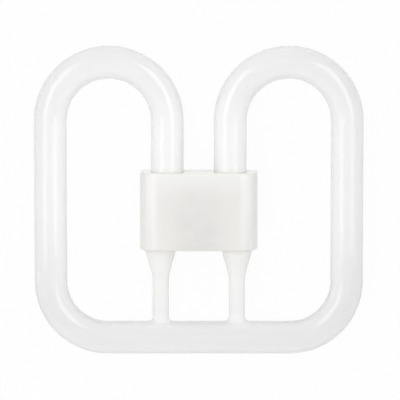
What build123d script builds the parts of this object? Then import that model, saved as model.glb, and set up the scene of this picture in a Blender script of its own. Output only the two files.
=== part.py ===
from build123d import *
import os

os.makedirs("parts", exist_ok=True)

# Driving dimensions in millimetres. X runs across the lamp, Y up it, Z towards its front.
tube_diameter = 14.0
bend_radius = 24.8  # tube axis, top bends
bottom_bend_radius = 24.2
inner_limb_pitch = 26.7
top_bend_height = 38.2  # centres of the top bends above the middle of the cap
bottom_run_drop = 54.5  # axis of the bottom run below the middle of the cap
tube_insert = 10.0  # how far each tube end goes into the cap
tube_end_round = 2.2

stem_pitch = 32.5
stem_neck_diameter = 7.0
stem_mouth_diameter = 12.6
stem_insert = 4.5
stem_end_round = 1.0
stem_shoulder_drop = 1.6  # where the flare starts, below the cap
stem_flare_length = 10.0
stem_shoulder_round = 3.0
stem_neck_round = 15.0
stem_weld_radius = 1.8

cap_width = 50.0
cap_height = 33.0
tube_room = 0.4  # between the tube and the cap's front and back walls
cap_back_corner_radius = 1.4
cap_edge_round = 0.7
cap_crown = 0.5  # bulge of the front face
seam_chamfer = 0.25  # groove where the halves of the cap meet
cap_wall = 2.0
seat_gap = 0.12  # glue line round the tube ends and the stems
end_gap = 0.5  # room beyond the ends of the tube and the stems
collar_wall = 0.48
collar_height = 1.1
collar_chamfer = 0.35
cradle_thickness = 1.6
lip_height = 1.2
lip_thickness = 1.0
lip_gap = 0.25

skirt_width = 40.0
skirt_length = 27.0
skirt_depth = 8.6
skirt_wall = 2.0
skirt_corner_radius = 4.0
skirt_edge_round = 0.5
latch_width = 9.0
latch_opening = 2.6

pin_diameter = 2.35
pin_spacing_x = 7.92
pin_spacing_y = 6.35
pin_recess = 1.0  # pin tips below the skirt's rim
pin_tip_round = 0.6
pin_root_diameter = 1.8
pin_root_gap = 0.04
pin_tail_diameter = 1.0
pin_tail_stub = 0.8  # tail beyond the board

board_thickness = 1.2
board_standoff = 2.4
board_side_gap = 2.0  # board to the cap's side walls
board_end_gap = 1.25  # board to the ends of the tube and the stems
tail_hole_gap = 0.1
post_diameter = 3.0
post_inset = 2.6

inductor_diameter = 9.0
inductor_height = 8.0
inductor_flange = 1.2
capacitor_diameter = 8.0
capacitor_height = 9.0
capacitor_edge_round = 0.8
part_inset = 8.5  # inductor and capacitor from the ends of the board
rectifier_length = 5.0
rectifier_width = 4.0
rectifier_height = 2.2
controller_length = 4.9
controller_width = 3.9
controller_height = 1.5

lead_diameter = 1.2
lead_spacing = 4.4
lead_reach = 3.0  # tube end to the lead's joint on the board
lead_bend_radius = 2.0

# Positions that follow from them
tube_radius = tube_diameter / 2
cap_corner_radius = tube_radius + cap_wall
cap_front_depth = tube_radius + tube_room + cap_wall
cap_back_depth = cap_front_depth
front_corner_z = skirt_depth + cap_back_depth + cap_front_depth - cap_crown
axis_z = skirt_depth + cap_back_depth
collar_diameter = stem_mouth_diameter + 2 * (seat_gap + collar_wall)
inner_x = inner_limb_pitch / 2
outer_x = inner_x + 2 * bend_radius
stem_x = stem_pitch / 2
cap_top = cap_height / 2
tube_end_y = cap_top - tube_insert
stem_end_y = stem_insert - cap_top
shoulder_y = -cap_top - stem_shoulder_drop
neck_y = shoulder_y - stem_flare_length
bottom_bend_y = bottom_bend_radius - bottom_run_drop
inside_width = cap_width - 2 * cap_wall
inside_height = cap_height - 2 * cap_wall
inside_back_z = skirt_depth + cap_wall
cradle_y = tube_end_y + cradle_thickness
cradle_width = inner_limb_pitch + tube_diameter - 2 * cap_wall
board_z = inside_back_z + board_standoff
board_top_z = board_z + board_thickness
board_length = inside_width - 2 * board_side_gap
board_width = tube_end_y - stem_end_y - 2 * board_end_gap
board_y = (tube_end_y + stem_end_y) / 2
part_x = board_length / 2 - part_inset
post_x = board_length / 2 - post_inset
post_y = board_width / 2 - post_inset

cap_top_plane = Plane.XZ.offset(-cap_top)
tube_seats = [(-inner_x, axis_z), (inner_x, axis_z)]
stem_seats = [(-stem_x, axis_z), (stem_x, axis_z)]
pin_centres = [
    (x, y)
    for y in (pin_spacing_y / 2, -pin_spacing_y / 2)
    for x in (-pin_spacing_x / 2, pin_spacing_x / 2)
]
lead_xs = [side * inner_x + offset for side in (-1, 1) for offset in (-lead_spacing / 2, lead_spacing / 2)]

# Opal tube, bent from one length, with a flared stem welded to its bottom run on each side
with BuildPart() as lamp_tube:
    with BuildLine(Plane.XY.offset(axis_z)) as tube_axis:
        inner_limb = Line((-inner_x, tube_end_y), (-inner_x, top_bend_height))
        top_bend = JernArc(inner_limb @ 1, inner_limb % 1, bend_radius, 180)
        outer_limb = Line(top_bend @ 1, (-outer_x, bottom_bend_y))
        bottom_bend = JernArc(outer_limb @ 1, outer_limb % 1, bottom_bend_radius, 90)
        Line(bottom_bend @ 1, (0, -bottom_run_drop))
        mirror(about=Plane.YZ)
    with BuildSketch(Plane.XZ.offset(-tube_end_y)):
        with Locations((-inner_x, axis_z)):
            Circle(tube_radius)
    sweep(path=tube_axis.wires()[0])
    tube_ends = lamp_tube.faces().filter_by(Axis.Y)
    fillet(tube_ends.edges(), tube_end_round)
    for x in (-stem_x, stem_x):
        with BuildSketch(Plane.XY.offset(axis_z)):
            with BuildLine():
                FilletPolyline(
                    (x, stem_end_y),
                    (x + stem_mouth_diameter / 2, stem_end_y),
                    (x + stem_mouth_diameter / 2, shoulder_y),
                    (x + stem_neck_diameter / 2, neck_y),
                    (x + stem_neck_diameter / 2, -bottom_run_drop),
                    radius=[stem_end_round, stem_shoulder_round, stem_neck_round],
                )
                Polyline(
                    (x + stem_neck_diameter / 2, -bottom_run_drop),
                    (x, -bottom_run_drop),
                    (x, stem_end_y),
                )
            make_face()
        revolve(axis=Axis((x, 0, axis_z), (0, 1, 0)))
    weld_line = lamp_tube.edges().filter_by(GeomType.BSPLINE)
    weld_line = weld_line.filter_by_position(Axis.Y, -bottom_run_drop, -bottom_run_drop + tube_diameter)
    fillet(weld_line, stem_weld_radius)
lamp_tube.part.label = "lamp_tube"
export_step(lamp_tube.part, "parts/lamp_tube.step")

# Front half of the cap, with half-round seats for the tube ends and the stems
with BuildPart() as cap_front:
    with BuildSketch(Plane.XZ) as front_outline:
        with BuildLine():
            Polyline(
                (-cap_width / 2, front_corner_z),
                (-cap_width / 2, axis_z),
                (cap_width / 2, axis_z),
                (cap_width / 2, front_corner_z),
            )
            ThreePointArc(
                (cap_width / 2, front_corner_z),
                (0, axis_z + cap_front_depth),
                (-cap_width / 2, front_corner_z),
            )
        make_face()
        fillet(front_outline.vertices().group_by(Axis.Y)[-1], cap_corner_radius)
    extrude(amount=cap_top, both=True)
    front_rims = cap_front.faces().filter_by(Axis.Y).edges()
    fillet(front_rims.filter_by_position(Axis.Z, axis_z + 0.05, axis_z + cap_front_depth), cap_edge_round)
    chamfer(cap_front.faces().sort_by(Axis.Z)[0].edges(), seam_chamfer)
    with BuildSketch(Plane.XZ.offset(cap_top - cap_wall / 2)):
        with Locations(*stem_seats):
            Circle(collar_diameter / 2)
        with Locations((0, axis_z)):
            Rectangle(cap_width, cap_front_depth, align=(Align.CENTER, Align.MIN), mode=Mode.INTERSECT)
    extrude(amount=cap_wall / 2 + collar_height)
    front_collars = cap_front.faces().sort_by(Axis.Y)[:2]
    chamfer(front_collars.edges().filter_by(GeomType.CIRCLE), collar_chamfer)
    with BuildSketch(Plane.XZ) as front_cavity:
        with Locations((0, axis_z)):
            Rectangle(inside_width, cap_front_depth - cap_wall, align=(Align.CENTER, Align.MIN))
        fillet(front_cavity.vertices().group_by(Axis.Y)[-1], cap_corner_radius - cap_wall)
    extrude(amount=inside_height / 2, both=True, mode=Mode.SUBTRACT)
    with BuildSketch(Plane.XZ.offset(-cradle_y)):
        with Locations((0, axis_z)):
            Rectangle(cradle_width, cap_front_depth - cap_wall / 2, align=(Align.CENTER, Align.MIN))
    extrude(amount=-cradle_thickness)
    with BuildSketch(cap_top_plane):
        with Locations(*tube_seats):
            Circle(tube_radius + seat_gap)
    extrude(amount=tube_insert + end_gap, mode=Mode.SUBTRACT)
    with BuildSketch(Plane.XZ.offset(-stem_end_y - end_gap)):
        with Locations(*stem_seats):
            Circle(stem_mouth_diameter / 2 + seat_gap)
    extrude(amount=end_gap + stem_insert + collar_height, mode=Mode.SUBTRACT)
cap_front.part.label = "cap_front"
export_step(cap_front.part, "parts/cap_front.step")

# Rear half of the cap, with the skirt that plugs over the holder
with BuildPart() as cap_back:
    with BuildSketch(Plane.XZ) as back_outline:
        with Locations((0, axis_z)):
            Rectangle(cap_width, cap_back_depth, align=(Align.CENTER, Align.MAX))
        fillet(back_outline.vertices().group_by(Axis.Y)[0], cap_back_corner_radius)
    extrude(amount=cap_top, both=True)
    back_rims = cap_back.faces().filter_by(Axis.Y).edges()
    fillet(back_rims.filter_by_position(Axis.Z, skirt_depth - 0.05, axis_z - 0.05), cap_edge_round)
    chamfer(cap_back.faces().sort_by(Axis.Z)[-1].edges(), seam_chamfer)
    with BuildSketch(Plane.XZ.offset(cap_top - cap_wall / 2)):
        with Locations(*stem_seats):
            Circle(collar_diameter / 2)
        with Locations((0, axis_z)):
            Rectangle(cap_width, cap_back_depth, align=(Align.CENTER, Align.MAX), mode=Mode.INTERSECT)
    extrude(amount=cap_wall / 2 + collar_height)
    back_collars = cap_back.faces().sort_by(Axis.Y)[:2]
    chamfer(back_collars.edges().filter_by(GeomType.CIRCLE), collar_chamfer)
    with BuildSketch(Plane.XZ):
        with Locations((0, axis_z)):
            Rectangle(inside_width, cap_back_depth - cap_wall, align=(Align.CENTER, Align.MAX))
    extrude(amount=inside_height / 2, both=True, mode=Mode.SUBTRACT)
    with BuildSketch(Plane.XY):
        RectangleRounded(skirt_width, skirt_length, skirt_corner_radius)
    extrude(amount=skirt_depth)
    skirt_rim = cap_back.faces().sort_by(Axis.Z)[0].edges()
    fillet(skirt_rim, skirt_edge_round)
    with BuildSketch(Plane.XY):
        RectangleRounded(
            skirt_width - 2 * skirt_wall, skirt_length - 2 * skirt_wall, skirt_corner_radius - skirt_wall
        )
    extrude(amount=skirt_depth, mode=Mode.SUBTRACT)
    with BuildSketch(Plane.YZ):
        with Locations((0, skirt_depth)):
            Rectangle(latch_width, latch_opening, align=(Align.CENTER, Align.MAX))
    extrude(amount=cap_width / 2, both=True, mode=Mode.SUBTRACT)
    with BuildSketch(Plane.XY.offset(inside_back_z)):
        with Locations((0, board_y)):
            with GridLocations(2 * post_x, 2 * post_y, 2, 2):
                Circle(post_diameter / 2)
    extrude(amount=board_standoff)
    with BuildSketch(Plane.XZ.offset(-cradle_y)):
        with Locations((0, axis_z)):
            Rectangle(cradle_width, cap_back_depth - cap_wall / 2, align=(Align.CENTER, Align.MAX))
    extrude(amount=-cradle_thickness)
    with BuildSketch(Plane.XY.offset(axis_z - lip_height)):
        Rectangle(inside_width, inside_height)
        Rectangle(
            inside_width - 2 * lip_gap - 2 * lip_thickness,
            inside_height - 2 * lip_gap - 2 * lip_thickness,
            mode=Mode.SUBTRACT,
        )
    extrude(amount=lip_height)
    with BuildSketch(Plane.XY.offset(axis_z)):
        Rectangle(inside_width - 2 * lip_gap, inside_height - 2 * lip_gap)
        Rectangle(
            inside_width - 2 * lip_gap - 2 * lip_thickness,
            inside_height - 2 * lip_gap - 2 * lip_thickness,
            mode=Mode.SUBTRACT,
        )
    extrude(amount=lip_height)
    with BuildSketch(cap_top_plane):
        with Locations(*tube_seats):
            Circle(tube_radius + seat_gap)
    extrude(amount=tube_insert + end_gap, mode=Mode.SUBTRACT)
    with BuildSketch(Plane.XZ.offset(-stem_end_y - end_gap)):
        with Locations(*stem_seats):
            Circle(stem_mouth_diameter / 2 + seat_gap)
    extrude(amount=end_gap + stem_insert + collar_height, mode=Mode.SUBTRACT)
    with BuildSketch(Plane.XY.offset(skirt_depth)):
        with Locations(*pin_centres):
            Circle(pin_root_diameter / 2 + pin_root_gap)
    extrude(amount=cap_wall, mode=Mode.SUBTRACT)
cap_back.part.label = "cap_back"
export_step(cap_back.part, "parts/cap_back.step")

# Contact pins, each shouldered on the floor behind the skirt, with a tail through the board
for number, centre in enumerate(pin_centres, start=1):
    with BuildPart() as contact_pin:
        with BuildSketch(Plane.XY.offset(pin_recess)):
            with Locations(centre):
                Circle(pin_diameter / 2)
        extrude(amount=skirt_depth - pin_recess)
        fillet(contact_pin.edges().group_by(Axis.Z)[0], pin_tip_round)
        with BuildSketch(Plane.XY.offset(skirt_depth)):
            with Locations(centre):
                Circle(pin_root_diameter / 2)
        extrude(amount=cap_wall)
        with BuildSketch(Plane.XY.offset(inside_back_z)):
            with Locations(centre):
                Circle(pin_tail_diameter / 2)
        extrude(amount=board_standoff + board_thickness + pin_tail_stub)
    contact_pin.part.label = f"contact_pin_{number}"
    export_step(contact_pin.part, f"parts/contact_pin_{number}.step")

# Driver board on four posts, and the parts on it
with BuildPart() as driver_board:
    with BuildSketch(Plane.XY.offset(board_z)):
        with Locations((0, board_y)):
            Rectangle(board_length, board_width)
        with Locations(*pin_centres):
            Circle(pin_tail_diameter / 2 + tail_hole_gap, mode=Mode.SUBTRACT)
    extrude(amount=board_thickness)
driver_board.part.label = "driver_board"
export_step(driver_board.part, "parts/driver_board.step")

with BuildPart() as driver_inductor:
    with BuildSketch(Plane.XY.offset(board_top_z)):
        with Locations((-part_x, board_y)):
            Circle(inductor_diameter / 2)
    extrude(amount=inductor_flange)
    with BuildSketch(Plane.XY.offset(board_top_z + inductor_flange)):
        with Locations((-part_x, board_y)):
            Circle(inductor_diameter / 2 - inductor_flange / 2)
    extrude(amount=inductor_height - 2 * inductor_flange)
    with BuildSketch(Plane.XY.offset(board_top_z + inductor_height - inductor_flange)):
        with Locations((-part_x, board_y)):
            Circle(inductor_diameter / 2)
    extrude(amount=inductor_flange)
driver_inductor.part.label = "driver_inductor"
export_step(driver_inductor.part, "parts/driver_inductor.step")

with BuildPart() as driver_capacitor:
    with BuildSketch(Plane.XY.offset(board_top_z)):
        with Locations((part_x, board_y)):
            Circle(capacitor_diameter / 2)
    extrude(amount=capacitor_height)
    fillet(driver_capacitor.edges().group_by(Axis.Z)[-1], capacitor_edge_round)
driver_capacitor.part.label = "driver_capacitor"
export_step(driver_capacitor.part, "parts/driver_capacitor.step")

with BuildPart() as driver_rectifier:
    with BuildSketch(Plane.XY.offset(board_top_z)):
        with Locations((0, board_y - board_width / 2 + rectifier_width)):
            Rectangle(rectifier_length, rectifier_width)
    extrude(amount=rectifier_height)
driver_rectifier.part.label = "driver_rectifier"
export_step(driver_rectifier.part, "parts/driver_rectifier.step")

with BuildPart() as driver_controller:
    with BuildSketch(Plane.XY.offset(board_top_z)):
        Rectangle(controller_length, controller_width)
    extrude(amount=controller_height)
driver_controller.part.label = "driver_controller"
export_step(driver_controller.part, "parts/driver_controller.step")

# Leads from the tube ends down to the board
for number, x in enumerate(lead_xs, start=1):
    with BuildPart() as lead_wire:
        with BuildLine(Plane.YZ.offset(x)) as lead_axis:
            FilletPolyline(
                (tube_end_y, axis_z),
                (tube_end_y - lead_reach, axis_z),
                (tube_end_y - lead_reach, board_top_z),
                radius=lead_bend_radius,
            )
        with BuildSketch(Plane.XZ.offset(-tube_end_y)):
            with Locations((x, axis_z)):
                Circle(lead_diameter / 2)
        sweep(path=lead_axis.wires()[0])
    lead_wire.part.label = f"lead_wire_{number}"
    export_step(lead_wire.part, f"parts/lead_wire_{number}.step")
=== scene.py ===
import math

import bpy
from mathutils import Matrix, Vector

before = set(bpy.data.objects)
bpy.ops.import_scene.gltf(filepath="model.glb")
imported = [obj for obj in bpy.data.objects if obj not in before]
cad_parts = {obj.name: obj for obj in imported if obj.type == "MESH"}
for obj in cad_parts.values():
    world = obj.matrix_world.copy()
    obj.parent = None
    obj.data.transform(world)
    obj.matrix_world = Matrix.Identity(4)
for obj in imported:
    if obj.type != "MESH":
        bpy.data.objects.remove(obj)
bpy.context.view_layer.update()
scene = bpy.context.scene
scene.view_settings.view_transform = "Standard"
print("lamp loaded:", len(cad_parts), "nodes")

nodeGrid = {"perRow": 8, "across": 220, "down": 320}  # how each node tree is laid out in the editor


def addNode(tree, kind, **settings):
    node = tree.nodes.new(kind)
    row, column = divmod(len(tree.nodes) - 1, nodeGrid["perRow"])
    node.location = (column * nodeGrid["across"], -row * nodeGrid["down"])
    for name, value in settings.items():
        setattr(node, name, value)
    return node


# a socket takes a link from another one, or a plain value
def feed(socket, value):
    if isinstance(value, bpy.types.NodeSocket):
        socket.id_data.links.new(value, socket)
    else:
        socket.default_value = value


def setInputs(node, **values):
    for name, value in values.items():
        feed(node.inputs[name.replace("_", " ")], value)


def mathNode(tree, operation, *values):
    node = addNode(tree, "ShaderNodeMath", operation=operation)
    for socket, value in zip(node.inputs, values):
        feed(socket, value)
    return node.outputs[0]


def newGroup(name, inputs, outputs):
    group = bpy.data.node_groups.new(name, "ShaderNodeTree")
    for label, start in inputs.items():
        socket = group.interface.new_socket(label, in_out="INPUT", socket_type="NodeSocketFloat")
        socket.default_value = start
    for label in outputs:
        group.interface.new_socket(label, in_out="OUTPUT", socket_type="NodeSocketFloat")
    entry = addNode(group, "NodeGroupInput")
    leave = addNode(group, "NodeGroupOutput")
    return group, entry.outputs, leave


cloudForm = {"detail": 3.0, "roughness": 0.55, "distortion": 0.3, "middle": 0.5, "spread": 0.3}


# slow cloudy change over a few millimetres or more
def buildClouding(form):
    group, given, leave = newGroup("clouding", {"Scale": 60.0, "Soften": 0.5}, ["Mask", "Height"])
    place = addNode(group, "ShaderNodeTexCoord")
    noise = addNode(group, "ShaderNodeTexNoise")
    setInputs(noise, Vector=place.outputs["Object"], Scale=given["Scale"], Detail=form["detail"],
              Roughness=form["roughness"], Distortion=form["distortion"])
    cloud = noise.outputs["Fac"]
    low = mathNode(group, "MULTIPLY_ADD", given["Soften"], -form["spread"], form["middle"])
    high = mathNode(group, "MULTIPLY_ADD", given["Soften"], form["spread"], form["middle"])
    mask = addNode(group, "ShaderNodeMapRange", interpolation_type="SMOOTHSTEP")
    setInputs(mask, Value=cloud, From_Min=low, From_Max=high)
    setInputs(leave, Mask=mask.outputs["Result"], Height=cloud)
    return group


grainForm = {"smooth": 0.6, "detail": 2.0, "roughness": 0.6, "cellShare": 0.6, "noiseShare": 0.4}


# fine even texture left by a mould; Stretch packs it along the lamp's depth, into rings round a pin
def buildMouldGrain(form):
    group, given, leave = newGroup("mouldGrain", {"Scale": 3000.0, "Stretch": 1.0}, ["Mask", "Height"])
    place = addNode(group, "ShaderNodeTexCoord")
    stretch = addNode(group, "ShaderNodeCombineXYZ")
    setInputs(stretch, X=1.0, Y=1.0, Z=given["Stretch"])
    scaled = addNode(group, "ShaderNodeVectorMath", operation="MULTIPLY")
    feed(scaled.inputs[0], place.outputs["Object"])
    feed(scaled.inputs[1], stretch.outputs[0])
    cells = addNode(group, "ShaderNodeTexVoronoi", feature="SMOOTH_F1")
    setInputs(cells, Vector=scaled.outputs[0], Scale=given["Scale"], Smoothness=form["smooth"])
    noise = addNode(group, "ShaderNodeTexNoise")
    setInputs(noise, Vector=scaled.outputs[0], Scale=given["Scale"], Detail=form["detail"],
              Roughness=form["roughness"])
    fine = mathNode(group, "MULTIPLY", noise.outputs["Fac"], form["noiseShare"])
    grain = mathNode(group, "MULTIPLY_ADD", cells.outputs["Distance"], form["cellShare"], fine)
    setInputs(leave, Mask=grain, Height=grain)
    return group


speckForm = {"patchScale": 45.0, "patchDetail": 2.0}


# a few tiny specks of dust, larger in some patches than in others
def buildDustSpecks(form):
    group, given, leave = newGroup("dustSpecks", {"Scale": 700.0, "Amount": 0.08}, ["Mask"])
    place = addNode(group, "ShaderNodeTexCoord")
    cells = addNode(group, "ShaderNodeTexVoronoi", feature="F1")
    setInputs(cells, Vector=place.outputs["Object"], Scale=given["Scale"])
    patch = addNode(group, "ShaderNodeTexNoise")
    setInputs(patch, Vector=place.outputs["Object"], Scale=form["patchScale"], Detail=form["patchDetail"])
    size = mathNode(group, "MULTIPLY", given["Amount"], patch.outputs["Fac"])
    dot = addNode(group, "ShaderNodeMapRange", interpolation_type="SMOOTHSTEP")
    setInputs(dot, Value=cells.outputs["Distance"], From_Max=size, To_Min=1.0, To_Max=0.0)
    setInputs(leave, Mask=dot.outputs["Result"])
    return group


clouding = buildClouding(cloudForm)
mouldGrain = buildMouldGrain(grainForm)
dustSpecks = buildDustSpecks(speckForm)
print("shared surface effects ready")


def newMaterial(name):
    material = bpy.data.materials.new(name)
    material.use_nodes = True
    tree = material.node_tree
    tree.nodes.clear()
    out = addNode(tree, "ShaderNodeOutputMaterial")
    shader = addNode(tree, "ShaderNodeBsdfPrincipled")
    setInputs(out, Surface=shader.outputs["BSDF"])
    return material, tree, shader


def placeGroup(tree, group, values):
    node = addNode(tree, "ShaderNodeGroup", node_tree=group)
    setInputs(node, **values)
    return node.outputs


# a mask spread from the first value of the span to the second
def spreadOver(tree, mask, span):
    node = addNode(tree, "ShaderNodeMapRange")
    setInputs(node, Value=mask, To_Min=span[0], To_Max=span[1])
    return node.outputs["Result"]


# masks from the spans that a look names: 0 before the first value, 1 after the second, eased between
def fadesOf(tree, look):
    def fade(source, span):
        first, second = look[span]
        node = addNode(tree, "ShaderNodeMapRange", interpolation_type="SMOOTHSTEP")
        setInputs(node, Value=source, From_Min=first, From_Max=second)
        return node.outputs["Result"]
    return fade


# 1 only where all of the masks are
def whereAll(tree, first, *others):
    mask = first
    for other in others:
        mask = mathNode(tree, "MULTIPLY", mask, other)
    return mask


# where a point is on the lamp: across from the middle line, and up or down from the middle of the cap
def lampPlace(tree):
    place = addNode(tree, "ShaderNodeTexCoord")
    split = addNode(tree, "ShaderNodeSeparateXYZ")
    setInputs(split, Vector=place.outputs["Object"])
    return mathNode(tree, "ABSOLUTE", split.outputs["X"]), split.outputs["Y"]


# how far the surface itself is turned to one side of the lamp: 1 flat on to it, 0 edge on, below 0 behind
def turnedTo(tree, side):
    surface = addNode(tree, "ShaderNodeNewGeometry")
    turn = addNode(tree, "ShaderNodeVectorMath", operation="DOT_PRODUCT")
    feed(turn.inputs[0], surface.outputs["Normal"])
    feed(turn.inputs[1], side)
    return turn.outputs["Value"]


# the mix node has colour sockets beside float ones of the same names, so they are found by kind
def colourBlend(tree, mask, first, second, way="MIX"):
    mix = addNode(tree, "ShaderNodeMix", data_type="RGBA", blend_type=way)
    firstSocket, secondSocket = [socket for socket in mix.inputs if socket.type == "RGBA"]
    feed(mix.inputs[0], mask)
    feed(firstSocket, first)
    feed(secondSocket, second)
    return [socket for socket in mix.outputs if socket.type == "RGBA"][0]


# colour, gloss and fine relief go to the shader
def finishSurface(tree, shader, look, colour, gloss, relief):
    strength, depth = look["relief"]
    bump = addNode(tree, "ShaderNodeBump")
    setInputs(bump, Strength=strength, Distance=depth, Height=relief)
    setInputs(shader, Base_Color=colour, Roughness=spreadOver(tree, gloss, look["shine"]),
              Normal=bump.outputs["Normal"])


def dress(material, *names):
    for name in names:
        node = bpy.data.objects[name]
        node.data.materials.clear()
        node.data.materials.append(material)


def numbered(name, count):
    return ["%s_%d" % (name, n + 1) for n in range(count)]


# tones with the spans over which they come in, in metres on the lamp or as a turn to the front
tubeLook = {
    "clouds": {"Scale": 38.0, "Soften": 0.9},
    "specks": {"Scale": 420.0, "Amount": 0.10},
    "ripples": {"Scale": 95.0, "Soften": 1.0},
    "milk": (0.887, 0.884, 0.889, 1.0),
    "thin": (0.869, 0.867, 0.872, 1.0),
    # painted shade: the bottom run darker than the limbs
    "paintedLowShade": (0.805, 0.803, 0.804, 1.0),
    "lowerFrom": (0.010, -0.048),
    # painted shade: the top bends darker than the limbs
    "paintedTopShade": (0.849, 0.846, 0.855, 1.0),
    "upperFrom": (0.030, 0.056),
    "middleAcross": (0.030, 0.026),  # inside this are the stems and the inner limbs
    "stem": (0.857, 0.854, 0.837, 1.0),
    "stemFrom": (-0.010, -0.014),
    "stemTo": (-0.050, -0.046),
    "stemLow": (0.842, 0.842, 0.843, 1.0),
    "stemLowFrom": (-0.028, -0.043),
    # painted light: the weld at the foot of each stem whiter
    "paintedWeldLight": (0.885, 0.885, 0.886, 1.0),
    "weldAt": 0.01625,
    "weldAcross": (0.0065, 0.0030),
    "weldFrom": (-0.0430, -0.0458),
    "weldTo": (-0.0508, -0.0478),
    # painted light: the inner limbs lighter than the outer ones
    "paintedInnerLight": (0.893, 0.891, 0.900, 1.0),
    "innerFrom": (0.055, 0.030),
    "innerTo": (0.0, 0.010),
    # painted light: the feet of the limbs and the mouths of the stems, where they meet the cap
    "paintedFootLight": (0.940, 0.937, 0.934, 1.0),
    "footReach": (0.024, 0.0175),
    "paintedMouthLight": (0.916, 0.906, 0.884, 1.0),
    "mouthFrom": (0.0, -0.010),
    # round the tube: painted light and shade, which multiply the tone under them by how far the surface is
    # turned to the front
    "front": (0.0, 0.105, 0.995),
    # painted light on the shoulders of the bottom run and the inner limbs
    "run": (1.032, 1.032, 1.032, 1.0),
    "runFrom": (0.50, 0.60),
    "runTo": (0.94, 0.72),
    # painted light on the shoulders beside the front
    "paintedShoulderLight": (1.018, 1.018, 1.018, 1.0),
    "shoulderFrom": (0.52, 0.68),
    "shoulderTo": (0.97, 0.88),
    # painted shade on the flanks and behind
    "paintedFlankShade": (0.945, 0.945, 0.949, 1.0),
    "flankFrom": (0.52, 0.36),
    "dust": (0.78, 0.77, 0.74, 1.0),
    "shine": (0.03, 0.05),
    "relief": (0.35, 0.00006),  # strength and depth
    "bend": 1.5,  # how strongly it bends light
    "milkDepth": 0.005,
    "milkSpread": (1.0, 1.0, 1.0),
}


def makeOpalGlass(look):
    material, tree, shader = newMaterial("opalGlass")
    cloud = placeGroup(tree, clouding, look["clouds"])
    specks = placeGroup(tree, dustSpecks, look["specks"])
    ripple = placeGroup(tree, clouding, look["ripples"])
    across, up = lampPlace(tree)
    front = turnedTo(tree, look["front"])
    fade = fadesOf(tree, look)
    body = colourBlend(tree, cloud["Mask"], look["milk"], look["thin"])
    # painted shade greys the tone down to the bottom run and up to the top bends, and painted light lifts the
    # bottom run along its shoulders
    down = fade(up, "lowerFrom")
    body = colourBlend(tree, down, body, look["paintedLowShade"])
    run = whereAll(tree, fade(front, "runFrom"), fade(front, "runTo"))
    body = colourBlend(tree, whereAll(tree, run, down), body, look["run"], "MULTIPLY")
    body = colourBlend(tree, fade(up, "upperFrom"), body, look["paintedTopShade"])
    # the stems are warmer near the cap, and painted light whitens the weld at the foot of each, where the
    # crease would lie in shade
    middle = fade(across, "middleAcross")
    stems = whereAll(tree, middle, fade(up, "stemFrom"), fade(up, "stemTo"))
    stemTone = colourBlend(tree, fade(up, "stemLowFrom"), look["stem"], look["stemLow"])
    body = colourBlend(tree, stems, body, stemTone)
    beside = mathNode(tree, "ABSOLUTE", mathNode(tree, "SUBTRACT", across, look["weldAt"]))
    paintedWeldLight = whereAll(tree, fade(beside, "weldAcross"), fade(up, "weldFrom"), fade(up, "weldTo"))
    body = colourBlend(tree, paintedWeldLight, body, look["paintedWeldLight"])
    # painted light makes the inner limbs lighter, and lifts their shoulders as it does the run's
    limbs = whereAll(tree, fade(up, "innerFrom"), fade(up, "innerTo"), middle)
    body = colourBlend(tree, limbs, body, look["paintedInnerLight"])
    body = colourBlend(tree, whereAll(tree, run, limbs), body, look["run"], "MULTIPLY")
    # painted light, whitest at the feet of the limbs above the cap, then at the mouths of the stems below it,
    # where the joints with the cap would lie in shade
    away = mathNode(tree, "ABSOLUTE", up)
    paintedFootLight = whereAll(tree, middle, fade(away, "footReach"))
    jointLightTone = colourBlend(tree, fade(up, "mouthFrom"), look["paintedFootLight"], look["paintedMouthLight"])
    body = colourBlend(tree, paintedFootLight, body, jointLightTone)
    # round the tube, painted light on the shoulders beside the front, and painted shade on the flanks and
    # behind
    paintedShoulderLight = whereAll(tree, fade(front, "shoulderFrom"), fade(front, "shoulderTo"))
    body = colourBlend(tree, paintedShoulderLight, body, look["paintedShoulderLight"], "MULTIPLY")
    body = colourBlend(tree, fade(front, "flankFrom"), body, look["paintedFlankShade"], "MULTIPLY")
    body = colourBlend(tree, specks["Mask"], body, look["dust"])
    finishSurface(tree, shader, look, body, cloud["Mask"], ripple["Height"])
    # the milky depth ends at the feet, where it would draw in the dark of the cap's inside
    setInputs(shader, IOR=look["bend"], Subsurface_Weight=mathNode(tree, "SUBTRACT", 1.0, paintedFootLight),
              Subsurface_Radius=look["milkSpread"], Subsurface_Scale=look["milkDepth"])
    return material


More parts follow.
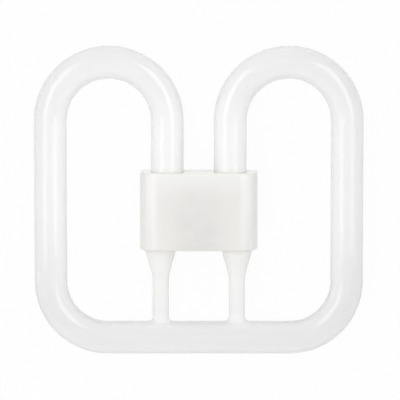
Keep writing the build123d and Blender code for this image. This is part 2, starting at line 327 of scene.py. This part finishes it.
# tones with the spans over which they come in, in metres on the lamp
capLook = {
    "clouds": {"Scale": 55.0, "Soften": 1.0},
    "blotches": {"Scale": 150.0, "Soften": 0.6},
    "grain": {"Scale": 3600.0, "Stretch": 1.0},
    "specks": {"Scale": 520.0, "Amount": 0.09},
    "shell": (0.885, 0.880, 0.863, 1.0),
    "shade": (0.870, 0.864, 0.840, 1.0),
    # painted shade over the inside, lighter shell left at the edges and top
    "insideShade": (0.812, 0.802, 0.780, 1.0),
    "insideShadeAcross": (0.0235, 0.0140),
    "insideShadeUp": (0.0165, 0.0040),
    # painted shade where the driver shows through the shell
    "driverShowThroughShade": (0.730, 0.720, 0.703, 1.0),
    "driverAcross": (0.0150, 0.0030),
    "driverUp": (0.0210, -0.0100),
    "driverShare": (0.55, 1.0),
    # painted highlight along the round corners
    "paintedCornerHighlight": (0.930, 0.924, 0.903, 1.0),
    "cornerFrom": (0.0180, 0.0205),
    "cornerTo": (0.0230, 0.0213),
    "cornerUp": (-0.020, 0.012),
    # painted shade along the side edges
    "paintedSideShade": (0.838, 0.831, 0.806, 1.0),
    "paintedSideShadeFrom": (0.0222, 0.0246),
    # painted light on the rim
    "paintedRimLight": (0.928, 0.924, 0.870, 1.0),
    "paintedRimLightFrom": (0.0157, 0.0163),
    # painted shade along the lip
    "paintedLipShade": (0.790, 0.783, 0.758, 1.0),
    "paintedLipShadeFrom": (-0.0158, -0.0163),
    # painted light on the collars
    "paintedCollarLight": (0.908, 0.902, 0.882, 1.0),
    "paintedCollarLightFrom": (-0.0166, -0.0170),
    "dust": (0.72, 0.70, 0.66, 1.0),
    "shine": (0.14, 0.20),
    "relief": (0.25, 0.00002),
    "bend": 1.49,
}


def makeCapPlastic(look):
    material, tree, shader = newMaterial("capPlastic")
    cloud = placeGroup(tree, clouding, look["clouds"])
    blotch = placeGroup(tree, clouding, look["blotches"])
    grain = placeGroup(tree, mouldGrain, look["grain"])
    specks = placeGroup(tree, dustSpecks, look["specks"])
    across, up = lampPlace(tree)
    fade = fadesOf(tree, look)
    body = colourBlend(tree, cloud["Mask"], look["shell"], look["shade"])
    # painted light and shade: the shell is lighter at its edges and top, and painted shade darkens the
    # inside, in blotches where the driver shows through
    insideShadeMask = whereAll(tree, fade(across, "insideShadeAcross"), fade(up, "insideShadeUp"))
    body = colourBlend(tree, insideShadeMask, body, look["insideShade"])
    uneven = spreadOver(tree, blotch["Mask"], look["driverShare"])
    driverShadeMask = whereAll(tree, fade(across, "driverAcross"), fade(up, "driverUp"), uneven)
    body = colourBlend(tree, driverShadeMask, body, look["driverShowThroughShade"])
    # painted highlight in the round corners, painted shade on the side edges and the lip, and painted light
    # on the rim and the collars
    paintedCornerHighlight = whereAll(tree, fade(across, "cornerFrom"), fade(across, "cornerTo"), fade(up, "cornerUp"))
    body = colourBlend(tree, paintedCornerHighlight, body, look["paintedCornerHighlight"])
    for tone, source in (("paintedSideShade", across), ("paintedRimLight", up), ("paintedLipShade", up), ("paintedCollarLight", up)):
        body = colourBlend(tree, fade(source, tone + "From"), body, look[tone])
    body = colourBlend(tree, specks["Mask"], body, look["dust"])
    finishSurface(tree, shader, look, body, grain["Mask"], grain["Height"])
    setInputs(shader, IOR=look["bend"])
    return material


pinLook = {
    "clouds": {"Scale": 420.0, "Soften": 0.7},
    "rings": {"Scale": 900.0, "Stretch": 9.0},
    "bright": (0.80, 0.60, 0.30, 1.0),
    "dull": (0.52, 0.37, 0.17, 1.0),
    "shine": (0.20, 0.42),
    "relief": (0.4, 0.00003),
}


def makePinBrass(look):
    material, tree, shader = newMaterial("pinBrass")
    cloud = placeGroup(tree, clouding, look["clouds"])
    rings = placeGroup(tree, mouldGrain, look["rings"])
    body = colourBlend(tree, cloud["Mask"], look["bright"], look["dull"])
    finishSurface(tree, shader, look, body, cloud["Mask"], rings["Height"])
    setInputs(shader, Metallic=1.0)
    return material


# the joints of a fine brick pattern stand for the copper tracks under the mask
boardLook = {
    "tracks": {"Scale": 420.0, "Mortar_Size": 0.06, "Mortar_Smooth": 0.2},
    "weave": {"Scale": 1800.0, "Stretch": 1.0},
    "mask": (0.020, 0.115, 0.045, 1.0),
    "maskOverCopper": (0.040, 0.175, 0.070, 1.0),
    "shine": (0.28, 0.40),
    "relief": (0.3, 0.00002),
}


def makeBoardLaminate(look):
    material, tree, shader = newMaterial("boardLaminate")
    place = addNode(tree, "ShaderNodeTexCoord")
    tracks = addNode(tree, "ShaderNodeTexBrick")
    setInputs(tracks, Vector=place.outputs["Object"], **look["tracks"])
    weave = placeGroup(tree, mouldGrain, look["weave"])
    body = colourBlend(tree, tracks.outputs["Fac"], look["mask"], look["maskOverCopper"])
    finishSurface(tree, shader, look, body, weave["Mask"], weave["Height"])
    return material


# small parts of the driver and its leads: a body colour, a second one that clouds it, gloss and grain
driverLook = {
    "inductorFerrite": {
        "nodes": ["driver_inductor"],
        "body": (0.060, 0.056, 0.052, 1.0),
        "cloud": (0.10, 0.092, 0.085, 1.0),
        "grain": {"Scale": 2600.0, "Stretch": 1.0},
        "shine": (0.45, 0.62),
        "relief": (0.3, 0.00004),
    },
    "capacitorSleeve": {
        "nodes": ["driver_capacitor"],
        "body": (0.018, 0.022, 0.035, 1.0),
        "cloud": (0.030, 0.036, 0.055, 1.0),
        "grain": {"Scale": 1500.0, "Stretch": 1.0},
        "shine": (0.22, 0.34),
        "relief": (0.3, 0.00001),
    },
    "chipEpoxy": {
        "nodes": ["driver_rectifier", "driver_controller"],
        "body": (0.022, 0.022, 0.024, 1.0),
        "cloud": (0.040, 0.040, 0.043, 1.0),
        "grain": {"Scale": 5200.0, "Stretch": 1.0},
        "shine": (0.50, 0.66),
        "relief": (0.3, 0.00003),
    },
    "leadInsulation": {
        "nodes": numbered("lead_wire", 4),
        "body": (0.82, 0.81, 0.78, 1.0),
        "cloud": (0.74, 0.73, 0.70, 1.0),
        "grain": {"Scale": 2200.0, "Stretch": 1.0},
        "shine": (0.40, 0.52),
        "relief": (0.3, 0.00002),
    },
}
driverClouds = {"Scale": 260.0, "Soften": 0.8}


def makeDriverFinish(name, look):
    material, tree, shader = newMaterial(name)
    cloud = placeGroup(tree, clouding, driverClouds)
    grain = placeGroup(tree, mouldGrain, look["grain"])
    body = colourBlend(tree, cloud["Mask"], look["body"], look["cloud"])
    finishSurface(tree, shader, look, body, grain["Mask"], grain["Height"])
    return material


dress(makeOpalGlass(tubeLook), "lamp_tube")
dress(makeCapPlastic(capLook), "cap_front", "cap_back")
dress(makePinBrass(pinLook), *numbered("contact_pin", 4))
dress(makeBoardLaminate(boardLook), "driver_board")
for finishName, finishLook in driverLook.items():
    dress(makeDriverFinish(finishName, finishLook), *finishLook["nodes"])
print("finishes placed on", len(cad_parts), "nodes")


# camera, mirror and see-through rays meet the stage as white
def seenDirectly(tree):
    path = addNode(tree, "ShaderNodeLightPath")
    seen = mathNode(tree, "MAXIMUM", path.outputs["Is Camera Ray"], path.outputs["Is Glossy Ray"])
    return mathNode(tree, "MAXIMUM", seen, path.outputs["Is Transmission Ray"])


def mixShaders(tree, share, first, second):
    mix = addNode(tree, "ShaderNodeMixShader")
    for socket, source in zip(mix.inputs, (share, first, second)):
        feed(socket, source)
    return mix.outputs[0]


floorLook = {"size": 8.0, "level": -0.0002, "paper": (0.95, 0.95, 0.95, 1.0), "rough": 0.9, "glow": 0.95}


def makeFloor(look):
    half, low = look["size"] / 2, look["level"]
    corners = [(-half, -half, low), (half, -half, low), (half, half, low), (-half, half, low)]
    mesh = bpy.data.meshes.new("floor")
    mesh.from_pydata(corners, [], [(0, 1, 2, 3)])
    floor = bpy.data.objects.new("floor", mesh)
    scene.collection.objects.link(floor)
    material, tree, shader = newMaterial("floorPaper")
    setInputs(shader, Base_Color=look["paper"], Roughness=look["rough"], Specular_IOR_Level=0.0)
    glow = addNode(tree, "ShaderNodeEmission")
    setInputs(glow, Strength=1.0)
    share = mathNode(tree, "MULTIPLY", seenDirectly(tree), look["glow"])
    paper = mixShaders(tree, share, shader.outputs["BSDF"], glow.outputs[0])
    # clear from below, so that the underside can be looked at
    side = addNode(tree, "ShaderNodeNewGeometry")
    clear = addNode(tree, "ShaderNodeBsdfTransparent")
    out = [node for node in tree.nodes if node.type == "OUTPUT_MATERIAL"][0]
    setInputs(out, Surface=mixShaders(tree, side.outputs["Backfacing"], paper, clear.outputs[0]))
    mesh.materials.append(material)


# height in the room, from 0 at the horizon to 1 overhead, and brightness there
roomLook = {"low": (0.08, 0.62), "middle": (0.45, 1.25), "high": (0.88, 0.38)}


def makeRoom(look):
    world = bpy.data.worlds.new("room")
    scene.world = world
    world.use_nodes = True
    tree = world.node_tree
    tree.nodes.clear()
    place = addNode(tree, "ShaderNodeTexCoord")
    split = addNode(tree, "ShaderNodeSeparateXYZ")
    setInputs(split, Vector=place.outputs["Generated"])
    rise = addNode(tree, "ShaderNodeValToRGB")
    setInputs(rise, Fac=split.outputs["Z"])
    stops = rise.color_ramp.elements
    while len(stops) < len(look):
        stops.new(0.5)
    top = max(bright for height, bright in look.values())
    for stop, (height, bright) in zip(stops, look.values()):
        stop.position = height
        stop.color = (bright / top, bright / top, bright / top, 1.0)
    fill = addNode(tree, "ShaderNodeBackground")
    setInputs(fill, Color=rise.outputs["Color"], Strength=top)
    white = addNode(tree, "ShaderNodeBackground")
    setInputs(white, Color=(1.0, 1.0, 1.0, 1.0), Strength=1.0)
    out = addNode(tree, "ShaderNodeOutputWorld")
    setInputs(out, Surface=mixShaders(tree, seenDirectly(tree), fill.outputs[0], white.outputs[0]))


# middle, width and length, brightness of the face, and what it lights: the gloss or the body
softBoxes = {
    "leftBox": {"at": (-1.68, 1.01, 2.29), "size": (1.39, 2.07), "bright": 2.5, "part": "gloss"},
    "leftStrip": {"at": (-1.85, -0.136, 2.38), "size": (1.39, 0.512), "bright": 1.5, "part": "gloss"},
    "rightBox": {"at": (1.51, 1.02, 2.40), "size": (1.44, 2.07), "bright": 2.5, "part": "gloss"},
    "rightStrip": {"at": (1.74, -0.14, 2.46), "size": (1.39, 0.50), "bright": 1.65, "part": "gloss"},
    "overhead": {"at": (-0.032, 0.005, 0.28), "size": (0.14, 0.50), "bright": 1.38, "part": "body"},
}


def addSoftBox(name, look):
    width, length = look["size"]
    lamp = bpy.data.lights.new(name, "AREA")
    lamp.shape = "RECTANGLE"
    lamp.size = width
    lamp.size_y = length
    lamp.energy = look["bright"] * math.pi * width * length
    box = bpy.data.objects.new(name, lamp)
    scene.collection.objects.link(box)
    # the face looks at the lamp, and its length runs up the picture
    outward = Vector(look["at"]).normalized()
    along = Vector((0.0, 1.0, 0.0))
    along = (along - outward * along.dot(outward)).normalized()
    box.location = look["at"]
    box.rotation_euler = Matrix((along.cross(outward), along, outward)).transposed().to_euler()
    box.visible_camera = False
    box.visible_glossy = look["part"] == "gloss"
    box.visible_diffuse = look["part"] == "body"


# what the camera looks at, its tilt in degrees, how far off it is, and the width it takes in there
viewLook = {"target": (0.00051, 0.00438, 0.018), "tilt": 6.0, "away": 1.3, "width": 0.170, "sensor": 36.0}


def makeCamera(look):
    lens = bpy.data.cameras.new("photoView")
    lens.sensor_fit = "HORIZONTAL"
    lens.sensor_width = look["sensor"]
    lens.lens = look["sensor"] * look["away"] / look["width"]
    camera = bpy.data.objects.new("photoView", lens)
    scene.collection.objects.link(camera)
    tilt = math.radians(look["tilt"])
    x, y, z = look["target"]
    camera.location = (x, y + look["away"] * math.sin(tilt), z + look["away"] * math.cos(tilt))
    camera.rotation_euler = (-tilt, 0.0, 0.0)
    scene.camera = camera


makeFloor(floorLook)
makeRoom(roomLook)
for boxName, boxLook in softBoxes.items():
    addSoftBox(boxName, boxLook)
makeCamera(viewLook)
print("stage, lights and camera ready")
